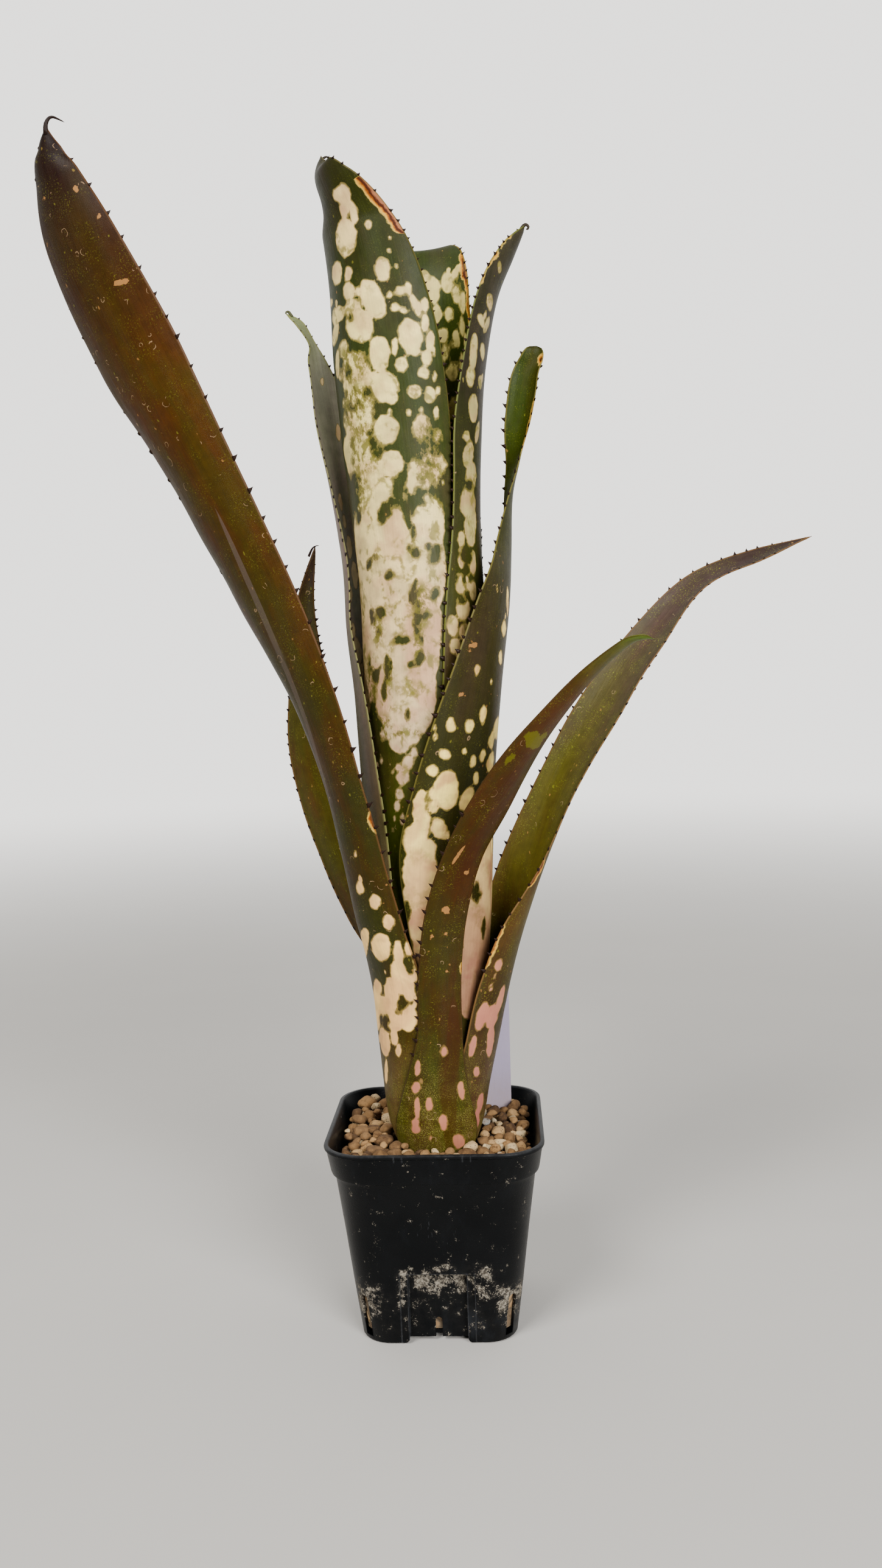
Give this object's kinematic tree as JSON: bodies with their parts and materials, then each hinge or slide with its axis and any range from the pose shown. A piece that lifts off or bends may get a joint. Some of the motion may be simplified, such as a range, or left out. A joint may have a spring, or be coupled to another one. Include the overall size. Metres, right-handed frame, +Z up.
{
  "type": "potted billbergia hybrid",
  "caption": "Tall narrow bromeliad rosette with spined, cream-spotted strap leaves wrapped into a tube, growing in a square plastic pot of gravel with a plain label.",
  "frame": {"origin": "centre of the pot's underside, on the surface that the pot stands on", "axes": "+Z up along the pot and the stem, -Y towards the front of the plant, +X to the right seen from the front"},
  "size_m": [0.3052, 0.1224, 0.4795],
  "materials": {
    "pot": "matt black with white mineral deposits near the base",
    "gravel": "dry tan, cream and pinkish brown stones",
    "stem": "pale green, matt",
    "plant_label": "plain white, slightly translucent",
    "leaf_front": "olive brown, satin, pink spots at the base",
    "leaf_left": "olive brown, satin, cream spots at the base",
    "leaf_right": "green with fine yellow speckles, satin",
    "leaf_back_left": "green with fine pale speckles, satin",
    "leaf_front_right": "dark green with round cream spots, satin",
    "leaf_inner_left": "grey green with a silvery bloom and cream spots",
    "leaf_inner_back": "grey green with a silvery bloom and cream spots",
    "leaf_tube_right": "dark grey green with a silvery bloom and cream spots",
    "leaf_tube_front": "dark green covered by merging cream and pink blotches",
    "leaf_tube_back": "dark green with cream blotches"
  },
  "bodies": {
    "root": {"pot": "pot", "gravel": "gravel", "stem": "stem", "plant_label": "plant_label", "leaf_front": "leaf_front", "leaf_left": "leaf_left", "leaf_right": "leaf_right", "leaf_back_left": "leaf_back_left", "leaf_front_right": "leaf_front_right", "leaf_inner_left": "leaf_inner_left", "leaf_inner_back": "leaf_inner_back", "leaf_tube_right": "leaf_tube_right", "leaf_tube_front": "leaf_tube_front", "leaf_tube_back": "leaf_tube_back"}
  },
  "joints": []
}
